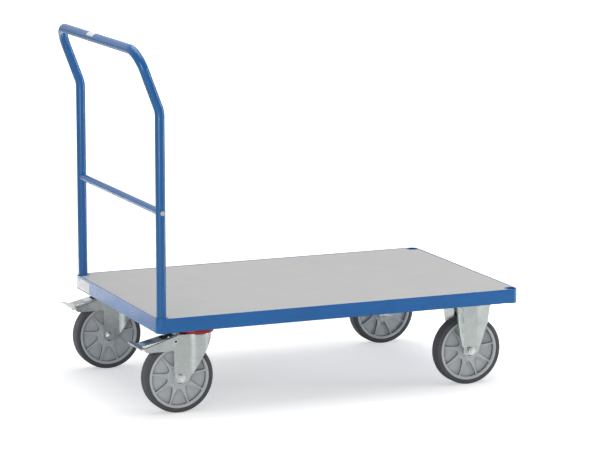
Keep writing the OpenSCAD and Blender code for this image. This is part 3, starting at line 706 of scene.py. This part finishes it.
bpy.ops.object.mode_set(mode="OBJECT")
clean(tyre)
inner = min(v.co.xy.length for v in tyre.data.vertices)
print("tyre inner radius in mm:", round(inner / MM, 1), "faces:", len(tyre.data.polygons))

# %% [markdown]
# Each wheel stands up on its axle and goes to its own place. The copies share the same shape, and the
# spokes stand at the same angle as in the CAD model.

# %% Place the wheels
SPOKE_TURN = math.radians(10)
for where, spot in wheel_middle.items():
    onto_axle = Matrix.Rotation(math.pi / 2, 4, "X") @ Matrix.Rotation(SPOKE_TURN, 4, "Z")
    stand = Matrix.Translation(spot) @ onto_axle
    for master, name, material, slot, node in (
        (rim, "wheel_rim_", None, "rim", "rim_"),
        (tyre, "wheel_tyre_", tyre_rubber, "tyre", "tyre_"),
    ):
        piece = master.copy()
        piece.data = master.data.copy()
        scene.collection.objects.link(piece)
        piece.data.transform(stand)
        settle(piece, name + where, "wheel_" + where, material, slot, node + where, smooth=40)
for master in (rim, tyre):
    bpy.data.objects.remove(master)

# %% [markdown]
# ## Castors
#
# The forks and plates are pressed from thick sheet and plated. Where a fork's sides turn into its crown
# the sheet is folded, so that edge gets a wide radius. The sheared edges are rounded a little, and
# take a near-white zinc that paints a highlight along them.

# %% Tests for folded edges
crown_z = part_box("swivel_fork_left")[1].z
CROWN_ROUND, CROWN_HALF_WIDTH = 38.9 * MM, 29.9 * MM


def fork_fold(axis):
    """The outer edge of a swivel fork's crown, seen from its swivel axis."""

    def test(a, b):
        at_top = min(a.z, b.z) > crown_z - 0.1 * MM
        return at_top and all(
            (p - axis).xy.length > CROWN_ROUND or abs(p.y - axis.y) > CROWN_HALF_WIDTH for p in (a, b)
        )

    return test


def pedal_fold(axis):
    """The two long edges where a pedal's tread turns down into its sides."""
    half_pedal = 25.6 * MM

    def test(a, b):
        return (a - b).length > 60 * MM and max(a.z, b.z) > crown_z - 4 * MM and all(
            abs(abs(p.y - axis.y) - half_pedal) < 0.3 * MM for p in (a, b)
        )

    return test


swivel_axis = {side: middle(f"seal_ring_{side}") for side in SIDES}
print("swivel axes:", {s: tuple(round(c, 4) for c in p) for s, p in swivel_axis.items()})

# %% Forks, plates and pedals
for side in SIDES:
    axis = swivel_axis[side]
    worked_copy(
        f"swivel_fork_{side}", f"castor_fork_{side}", zinc_sheet, "zinc_sheet", 0.0006, 2, 40,
        (fork_fold(axis), 0.0026), zinc_edge
    )
    worked_copy(f"swivel_plate_{side}", f"castor_plate_{side}", zinc_sheet, "zinc_sheet", 0.0006, 2, 40)
    worked_copy(
        f"fixed_fork_{side}", f"fixed_castor_{side}", zinc_sheet, "zinc_sheet", 0.0006, 2, 24, edge=zinc_edge
    )
    worked_copy(
        f"pedal_{side}", f"brake_pedal_{side}", zinc_bright, "pedal_zinc", 0.0005, 2, 40,
        (pedal_fold(axis), 0.0014), zinc_edge
    )
    worked_copy(f"brake_shoe_{side}", f"brake_block_{side}", brake_rubber, "brake_rubber", 0.0006)
    worked_copy(f"axle_nut_rear_{side}", f"rear_axle_nut_{side}", zinc_bright, "fasteners", 0.0007)
    worked_copy(f"axle_bolt_rear_{side}", f"rear_axle_bolt_{side}", zinc_bright, "fasteners", 0.0006)
    # the rivet heads take the near-white zinc of the painted edge highlight
    worked_copy(f"pedal_rivets_{side}", f"pedal_rivet_heads_{side}", zinc_edge, "fasteners", 0.0004, 2, 40)
for side in SIDES:
    rivets = bpy.data.objects[f"pedal_rivet_heads_{side}"]
    axis = Vector((middle(f"pedal_rivets_{side}").x, 0, middle(f"pedal_rivets_{side}").z))
    # The faces inside the hollow rivets' bores take the black plastic: painted shade in the bores.
    rivets.data.materials.append(black_plastic)
    for face in rivets.data.polygons:
        away = Vector((face.center.x - axis.x, 0, face.center.z - axis.z))
        if away.length < 3.3 * MM and face.normal.dot(away) < 0:
            face.material_index = 1
    print("dark bore faces:", sum(f.material_index == 1 for f in rivets.data.polygons))
worked_copy("axle_nuts_front", "front_axle_nuts", zinc_bright, "fasteners", 0.0007)
worked_copy("axle_bolts_front", "front_axle_bolts", zinc_bright, "fasteners", 0.0006)
worked_copy("castor_bolts", "plate_bolts", zinc_bright, "fasteners", 0.0005)
worked_copy("castor_nuts", "plate_nuts", zinc_bright, "fasteners", 0.0005)

# %% [markdown]
# ### Dust rings
#
# The red ring that covers each swivel race is turned like a washer with a rounded skirt. It starts as a
# circle at its inner foot and goes once round its own section.

# %% Dust rings
for side in SIDES:
    low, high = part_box(f"seal_ring_{side}")
    axis = swivel_axis[side]
    outer, tall = (high.x - low.x) / 2 / MM, (high.z - low.z) / MM
    section = [  # radius and height over the ring's foot, in mm
        (38.6, 0), (41.5, 0), (outer - 2.6, 0.6), (outer - 0.7, 1.9), (outer, 3.9), (outer, tall - 4.6),
        (outer - 0.5, tall - 2.6), (outer - 1.8, tall - 1.0), (outer - 3.6, tall - 0.1), (outer - 6, tall),
        (40, tall), (38.6, tall - 1.2), (38.6, 0),
    ]
    bpy.ops.mesh.primitive_circle_add(
        vertices=96, radius=section[0][0] * MM, location=(axis.x, axis.y, low.z)
    )
    ring = bpy.context.object
    bpy.ops.object.mode_set(mode="EDIT")
    bpy.ops.mesh.select_all(action="SELECT")
    for (radius, height), (next_radius, next_height) in zip(section, section[1:]):
        slide(z=(next_height - height) * MM)
        share = next_radius / radius
        bpy.ops.transform.resize(value=(share, share, 1), center_override=(axis.x, axis.y, 0))
    bpy.ops.object.mode_set(mode="OBJECT")
    clean(ring, 1e-5)
    node = f"seal_ring_{side}"
    settle(ring, f"dust_ring_{side}", body_of(node), red_plastic, "seal_ring", node, smooth=50)
    print("dust ring", side, "faces:", len(ring.data.polygons))

# %% [markdown]
# ## Labels
#
# A blank white label is stuck on the rear rail beside its left corner, and a small one on the top bar.
# The large one is a flat sheet with round corners; the small one is a strip wrapped over the tube.

# %% Labels
def label(width, height, thickness):
    """A thin flat sheet with round corners, lying at the middle of the world."""
    bpy.ops.mesh.primitive_plane_add(size=1)
    sheet = bpy.context.object
    sheet.scale = (width, height, 1)
    bpy.ops.object.transform_apply(scale=True)
    bpy.ops.object.mode_set(mode="EDIT")
    bpy.ops.mesh.select_all(action="SELECT")
    bpy.ops.mesh.bevel(offset=2.0 * MM, segments=4, affect="VERTICES")
    bpy.ops.mesh.select_all(action="SELECT")
    bpy.ops.mesh.extrude_region_move(TRANSFORM_OT_translate={"value": (0, 0, thickness)})
    bpy.ops.object.mode_set(mode="OBJECT")
    return sheet


rail_face = rim_low.x
label_y, label_z = (0.226, 0.331), (0.2385, 0.2685)
sheet = label(abs(label_y[1] - label_y[0]), abs(label_z[1] - label_z[0]), 0.15 * MM)
face_backwards = Matrix(((0, 0, -1, 0), (1, 0, 0, 0), (0, 1, 0, 0), (0, 0, 0, 1)))
sheet.data.transform(
    Matrix.Translation((rail_face, sum(label_y) / 2, sum(label_z) / 2)) @ face_backwards
)
clean(sheet)
settle(sheet, "rear_rail_label", "chassis", label_film, None, smooth=30)

bar_length = 56 * MM
bpy.ops.mesh.primitive_cylinder_add(
    vertices=64, radius=tube_radius + 0.25 * MM, depth=bar_length, end_fill_type="NOTHING",
    location=(top_x, 0.026, top), rotation=(math.pi / 2, 0, 0)
)
sticker = bpy.context.object
bpy.ops.object.transform_apply(location=True, rotation=True)
WRAP_FROM, WRAP_TO = 0.35, 2.2  # angles in radians, from straight back over the top of the tube


def past_the_wrap(c, _normal):
    around = math.atan2(c.z - top, top_x - c.x)
    return around < WRAP_FROM or around > WRAP_TO


pick(sticker, "FACE", past_the_wrap)
bpy.ops.mesh.delete(type="FACE")
bpy.ops.object.mode_set(mode="OBJECT")
sheet_tool = sticker.modifiers.new("thickness", "SOLIDIFY")
sheet_tool.thickness = 0.2 * MM
activate(sticker)
bpy.ops.object.modifier_apply(modifier=sheet_tool.name)
clean(sticker)
settle(sticker, "top_bar_label", "push_handle", label_film, None, smooth=40)

# %% [markdown]
# ## What stays as CAD
#
# The small round parts keep their CAD shape. Each gets a material with the same detail as the rest.

# %% Materials for the CAD nodes that stay
for name, node in nodes.items():
    if node.hide_render:
        continue
    kept = black_plastic if name.startswith("bearing") else bearing_steel
    node.data.materials.clear()
    node.data.materials.append(kept)
    print("kept", name, "with", kept.name)
